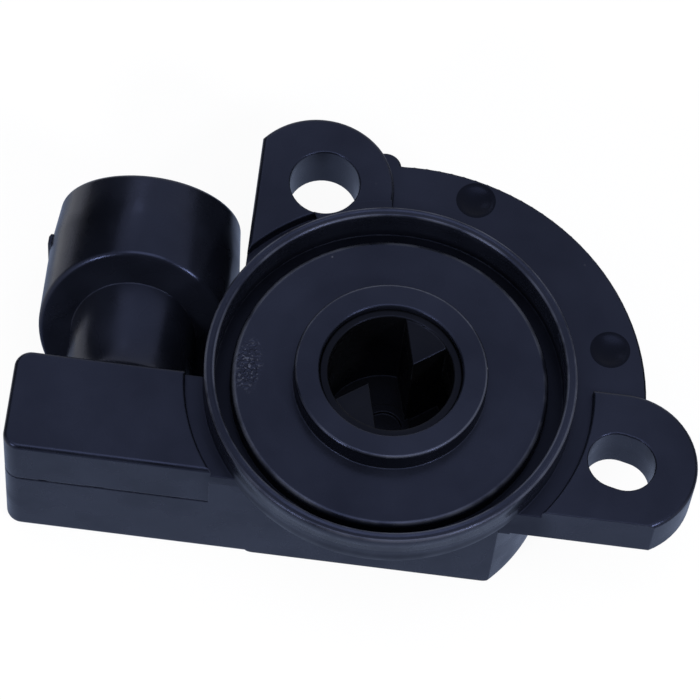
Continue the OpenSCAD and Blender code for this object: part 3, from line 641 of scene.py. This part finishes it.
def crest_profile(edges):
    """Section of the pilot rim's crest: two rounded edges with a shallow hollow between them."""
    turn = edges.rim_edge
    level = edges.rim_top - turn
    outer, inner = edges.rim_r - turn, edges.rim_in_r + turn
    middle, hollow = (outer + inner) / 2, 0.4 * turn
    arc = [(turn * math.cos(a), turn * math.sin(a)) for a in map(math.radians, range(0, 81, 16))]
    points = [(outer, 0), (edges.rim_r, turn)]
    points += [(outer + across, level + up) for across, up in arc]
    points += [(middle + side * hollow, edges.rim_top - edges.rim_dip) for side in (1, 0, -1)]
    points += [(inner - across, level + up) for across, up in reversed(arc)]
    return points + [(edges.rim_in_r, level / 2), (inner, level / 2 - turn)]


class SENSOR_OT_pilot_rim(bpy.types.Operator):
    """Lays the fine crest on the pilot rim, all the way round"""

    bl_idname = "sensor.pilot_rim"
    bl_label = "Pilot Rim"

    def execute(self, context):
        join_front(lathe("rim_crest", crest_profile(context.scene.sensor_edges), CREST_TURNS))
        return {"FINISHED"}


def prism(name, outline, low, high):
    """An upright solid on an outline of (x, y) points."""
    shape = bmesh.new()
    foot = [shape.verts.new((x, y, low)) for x, y in outline]
    head = [shape.verts.new((x, y, high)) for x, y in outline]
    for at in range(len(outline)):
        shape.faces.new((foot[at - 1], foot[at], head[at], head[at - 1]))
    shape.faces.new(foot)
    shape.faces.new(head)
    bmesh.ops.triangulate(shape, faces=[face for face in shape.faces if len(face.verts) > 4])
    bmesh.ops.recalc_face_normals(shape, faces=shape.faces)
    return as_piece(shape, name)


def web_outline(edges):
    """Outline of the ear's web: an arc inside the rim, and back along the upper ear's pad and hole."""
    hole = MOUNTS["ear_hole_round"]
    away = math.hypot(*hole["pos_m"][:2])
    middle = math.atan2(hole["pos_m"][1], hole["pos_m"][0])
    size = hole["dims"]["r_mm"] * MM
    step = (edges.web_end - edges.web_start) / WEB_STEPS
    turns = [edges.web_start + step * at for at in range(WEB_STEPS + 1)]
    inner = [(edges.rim_in_r + edges.rim_edge, turn) for turn in turns]
    outer = []
    for turn in reversed(turns):
        reach = edges.pad_cut_r + edges.pads + edges.near
        half = size * size - (away * math.sin(turn - middle)) ** 2
        if half > 0:
            reach = min(reach, away * math.cos(turn - middle) - math.sqrt(half))
        outer.append((reach, turn))
    return [(r * math.cos(turn), r * math.sin(turn)) for r, turn in inner + outer]


class SENSOR_OT_ear_web(bpy.types.Operator):
    """Closes the upper ear's hole towards the rim, at the height of the pad"""

    bl_idname = "sensor.ear_web"
    bl_label = "Ear Web"

    def execute(self, context):
        edges = context.scene.sensor_edges
        join_front(prism("ear_web", web_outline(edges), -edges.dent_rim - SKIN, -SKIN / 2))
        return {"FINISHED"}


class SENSOR_OT_rear_housing(bpy.types.Operator):
    """Rounds the rear housing's shroud and gives it its plastic"""

    bl_idname = "sensor.rear_housing"
    bl_label = "Rear Housing"

    def execute(self, context):
        look = context.scene.sensor_plastic
        edges = context.scene.sensor_edges
        shape = merged_copy("rear_housing")
        close_seam(shape, edges.fit_gap)
        low, high = SHROUD_END_Y
        shroud = sharp_edges(shape, lambda at: low < at.y < high and at.x < SHROUD_RIGHT_X)
        round_edges(shape, shroud, edges.shroud)
        finished(shape, "rear_moulding", "rear_housing", moulded_plastic("rear_plastic", look.cover))
        return {"FINISHED"}


class SENSOR_OT_rotor(bpy.types.Operator):
    """Rounds the drive cup and its lugs and gives the rotor its plastic"""

    bl_idname = "sensor.rotor"
    bl_label = "Rotor"

    def execute(self, context):
        shape = merged_copy("rotor")
        upper = sharp_edges(shape, lambda at: at.z > ROTOR_EDGES_FROM_Z)
        round_edges(shape, upper, context.scene.sensor_edges.rotor)
        look = context.scene.sensor_plastic
        plastic = moulded_plastic("rotor_plastic", look.rotor, sheen_level=look.dull_sheen)
        finished(shape, "rotor_moulding", "rotor", plastic)
        return {"FINISHED"}


class SENSOR_OT_spring_and_seal(bpy.types.Operator):
    """Finishes the return spring, shaft seal, retainer and washer"""

    bl_idname = "sensor.spring_and_seal"
    bl_label = "Spring and Seal"

    def execute(self, context):
        look = context.scene.sensor_metal
        wire = metal("spring_steel", look.steel, roughness=0.28, streak=0.6, stretch=(0.2, 0.2, 1))
        dress("return_spring", wire)
        dress("seal_retainer", metal("retainer_steel", look.retainer, roughness=0.24))
        dress("thrust_washer", metal("washer_metal", look.bronze, roughness=0.3))
        rubber = plain_filler("seal_rubber", look.rubber, roughness=0.5, grain=0.4 * MM, depth=0.01 * MM)
        dress("shaft_seal", rubber)
        return {"FINISHED"}


class SENSOR_OT_wiper(bpy.types.Operator):
    """Finishes the wiper carrier and its brushes"""

    bl_idname = "sensor.wiper"
    bl_label = "Wiper"

    def execute(self, context):
        look = context.scene.sensor_metal
        bronze = metal("spring_bronze", look.bronze, roughness=0.3, streak=0.5, stretch=(0.1, 1, 1))
        dress("wiper_carrier", bronze)
        contact = metal("brush_alloy", look.brush, roughness=0.22, streak=0.4, stretch=(1, 0.1, 1))
        for node in ("track_brush", "collector_brush"):
            dress(node, contact)
        return {"FINISHED"}


class SENSOR_OT_board(bpy.types.Operator):
    """Finishes the resistor board and what is printed on it"""

    bl_idname = "sensor.board"
    bl_label = "Resistor Board"

    def execute(self, context):
        look = context.scene.sensor_metal
        board = plain_filler("board_laminate", look.laminate, roughness=0.45, grain=0.6 * MM, depth=0.01 * MM)
        dress("resistor_board", board)
        carbon = plain_filler("carbon_ink", look.carbon, roughness=0.4, grain=0.15 * MM, depth=0.004 * MM)
        dress("resistance_track", carbon)
        silver = metal("silver_ink", look.silver, roughness=0.42)
        for node in ("collector_track", "board_leads"):
            dress(node, silver)
        return {"FINISHED"}


class SENSOR_OT_terminals(bpy.types.Operator):
    """Finishes the terminals, their rivets, block and sealant"""

    bl_idname = "sensor.terminals"
    bl_label = "Terminals"

    def execute(self, context):
        look = context.scene.sensor_metal
        tin = metal("tinned_terminal", look.tin, roughness=0.26, streak=0.4, stretch=(1, 0.08, 1))
        for node in ("terminal_supply", "terminal_signal", "terminal_ground"):
            dress(node, tin)
        dress("terminal_rivets", metal("rivet_brass", look.brass, roughness=0.26))
        block = plain_filler("block_plastic", look.block, roughness=0.42, grain=0.3 * MM, depth=0.006 * MM)
        dress("terminal_block", block)
        resin = plain_filler("sealing_resin", look.resin, roughness=0.16, grain=1.2 * MM, depth=0.02 * MM)
        dress("terminal_sealant", resin)
        return {"FINISHED"}


def white_where_seen(tree, lit, white, amount, output):
    """Mixes white over a lit shader by amount for camera, glossy and transmission rays."""
    rays = tree.nodes.new("ShaderNodeLightPath")
    seen = rays.outputs["Is Camera Ray"]
    for other in ("Is Glossy Ray", "Is Transmission Ray", None):
        step = tree.nodes.new("ShaderNodeMath")
        step.operation = "MAXIMUM" if other else "MULTIPLY"
        tree.links.new(seen, step.inputs[0])
        if other:
            tree.links.new(rays.outputs[other], step.inputs[1])
        else:
            step.inputs[1].default_value = amount
        seen = step.outputs[0]
    both = tree.nodes.new("ShaderNodeMixShader")
    tree.links.new(seen, both.inputs[0])
    tree.links.new(lit.outputs[0], both.inputs[1])
    tree.links.new(white.outputs[0], both.inputs[2])
    tree.links.new(both.outputs[0], output.inputs[0])


def softbox(name, power, size, place):
    """An area lamp that points at the origin."""
    lamp = bpy.data.lights.new(name, "AREA")
    lamp.energy = power
    lamp.shape = "RECTANGLE"
    lamp.size, lamp.size_y = size
    holder = bpy.data.objects.new(name, lamp)
    turn = (-Vector(place)).to_track_quat("-Z", "Y").to_matrix().to_4x4()
    holder.matrix_world = Matrix.Translation(place) @ turn
    bpy.context.scene.collection.objects.link(holder)


class SENSOR_OT_stage(bpy.types.Operator):
    """Sets the floor, the lamps, the cards, the surroundings and the camera"""

    bl_idname = "sensor.stage"
    bl_label = "Stage"

    def execute(self, context):
        settings = context.scene.sensor_stage
        self.lay_floor(settings)
        self.light_air(context.scene, settings)
        for name, (size, place) in SOFTBOXES.items():
            softbox(f"{name}_softbox", getattr(settings, f"{name}_power"), size, place)
        self.set_cards(settings)
        self.place_camera(context.scene, settings)
        context.scene.view_settings.view_transform = "Standard"
        return {"FINISHED"}

    def set_cards(self, settings):
        """Painted reflections: dark cards at both sides and in front, and a tinted one under the part that
        stands in for the shaded floor near it.
        """
        low, high = CAD_BOX
        dark = (0, 0, 0)
        away, depth = settings.card_away, settings.card_depth
        sides = (("left_card", -away, settings.left_height), ("right_card", away, settings.right_height))
        # Black cards that paint dark reflections at the sides and in front.
        for name, x, tall in sides:
            self.card(name, dark, (x, depth, low.z + tall / 2), (0, 2 * depth, 0), (0, 0, tall))
        wide, tall = settings.front_width, settings.front_height
        self.card("front_card", dark, (0, -depth, settings.front_middle), (wide, 0, 0), (0, 0, tall))
        # A tinted glowing card under the part: painted reflection of the floor's shade, seen in the upright
        # walls.
        reach = settings.foot_card
        left, right = low.x - settings.foot_left, high.x + reach
        front, back = low.y - reach, high.y + reach
        middle = ((left + right) / 2, (front + back) / 2, low.z + settings.foot_lift)
        self.card("foot_card", settings.card_tint, middle, (right - left, 0, 0), (0, back - front, 0))

    def card(self, name, tint, middle, wide, tall):
        """A glowing card that only glossy reflections show: a painted reflection, dark or tinted, which casts
        no shadow and lights nothing.
        """
        shape = bmesh.new()
        middle, wide, tall = Vector(middle), Vector(wide), Vector(tall)
        corners = ((-0.5, -0.5), (0.5, -0.5), (0.5, 0.5), (-0.5, 0.5))
        shape.faces.new([shape.verts.new(middle + a * wide + b * tall) for a, b in corners])
        piece = as_piece(shape, name)
        paint = bpy.data.materials.new(name)
        paint.use_nodes = True
        glow = paint.node_tree.nodes.new("ShaderNodeEmission")
        glow.inputs["Color"].default_value = (*tint, 1)
        paint.node_tree.links.new(glow.outputs[0], paint.node_tree.nodes["Material Output"].inputs[0])
        piece.data.materials.append(paint)
        piece.visible_camera = False
        piece.visible_diffuse = False
        piece.visible_transmission = False
        piece.visible_shadow = False

    def lay_floor(self, settings):
        """A pale floor that stays nearly white in the view and keeps the part's shadow."""
        low = CAD_BOX[0].z - settings.floor_gap
        shape = bmesh.new()
        bmesh.ops.create_grid(shape, x_segments=1, y_segments=1, size=settings.floor_size / 2)
        bmesh.ops.translate(shape, verts=shape.verts, vec=(0, 0, low))
        floor = as_piece(shape, "studio_floor")
        paint = bpy.data.materials.new("floor_paper")
        paint.use_nodes = True
        tree = paint.node_tree
        lit = tree.nodes["Principled BSDF"]
        lit.inputs["Base Color"].default_value = (*settings.floor, 1)
        lit.inputs["Roughness"].default_value = settings.floor_rough
        white = tree.nodes.new("ShaderNodeEmission")
        white_where_seen(tree, lit, white, settings.floor_white, tree.nodes["Material Output"])
        floor.data.materials.append(paint)

    def light_air(self, scene, settings):
        """Soft blue-grey surroundings that look white to the camera."""
        world = bpy.data.worlds.new("studio_air")
        scene.world = world
        world.use_nodes = True
        tree = world.node_tree
        dim = tree.nodes["Background"]
        dim.inputs["Color"].default_value = (*settings.air, 1)
        white = tree.nodes.new("ShaderNodeBackground")
        white.inputs["Color"].default_value = (1, 1, 1, 1)
        white_where_seen(tree, dim, white, 1.0, tree.nodes["World Output"])

    def place_camera(self, scene, settings):
        """The photograph's view: the part is turned, tilted and rolled, then moved away from the lens."""
        lens = bpy.data.cameras.new("view_camera")
        lens.lens = settings.lens
        lens.sensor_width = 36
        lens.clip_start = 0.01
        camera = bpy.data.objects.new("view_camera", lens)
        turn = Matrix.Rotation(settings.roll, 4, "Z") @ Matrix.Rotation(-settings.pitch, 4, "X")
        turn = turn @ Matrix.Rotation(settings.yaw, 4, "Z")
        shift = Matrix.Translation((settings.across, settings.up, -settings.away))
        camera.matrix_world = (shift @ turn).inverted()
        scene.collection.objects.link(camera)
        scene.camera = camera


OPERATORS = (
    SENSOR_OT_front_housing,
    SENSOR_OT_pilot_rim,
    SENSOR_OT_ear_web,
    SENSOR_OT_rear_housing,
    SENSOR_OT_rotor,
    SENSOR_OT_spring_and_seal,
    SENSOR_OT_wiper,
    SENSOR_OT_board,
    SENSOR_OT_terminals,
    SENSOR_OT_stage,
)
GROUPS = {
    "sensor_edges": EdgeSizes,
    "sensor_plastic": PlasticLook,
    "sensor_metal": MetalLook,
    "sensor_stage": StageSettings,
}


class SENSOR_PT_panel(bpy.types.Panel):
    """Lists the operators in the sidebar"""

    bl_idname = "SENSOR_PT_panel"
    bl_label = "Throttle Position Sensor"
    bl_space_type = "VIEW_3D"
    bl_region_type = "UI"
    bl_category = "Sensor"

    def draw(self, context):
        for operator in OPERATORS:
            self.layout.operator(operator.bl_idname)
        for name in GROUPS:
            box = self.layout.box()
            settings = getattr(context.scene, name)
            for key in settings.bl_rna.properties.keys():
                if key not in ("rna_type", "name"):
                    box.prop(settings, key)


def register():
    """Registers the settings, the operators and the panel."""
    for name, group in GROUPS.items():
        bpy.utils.register_class(group)
        setattr(bpy.types.Scene, name, PointerProperty(type=group))
    for operator in OPERATORS:
        bpy.utils.register_class(operator)
    bpy.utils.register_class(SENSOR_PT_panel)


def unregister():
    """Undoes register."""
    bpy.utils.unregister_class(SENSOR_PT_panel)
    for operator in reversed(OPERATORS):
        bpy.utils.unregister_class(operator)
    for name, group in GROUPS.items():
        delattr(bpy.types.Scene, name)
        bpy.utils.unregister_class(group)


def main():
    """Builds every piece and the stage."""
    register()
    for operator in OPERATORS:
        group, name = operator.bl_idname.split(".")
        getattr(getattr(bpy.ops, group), name)()


if __name__ == "__main__":
    main()
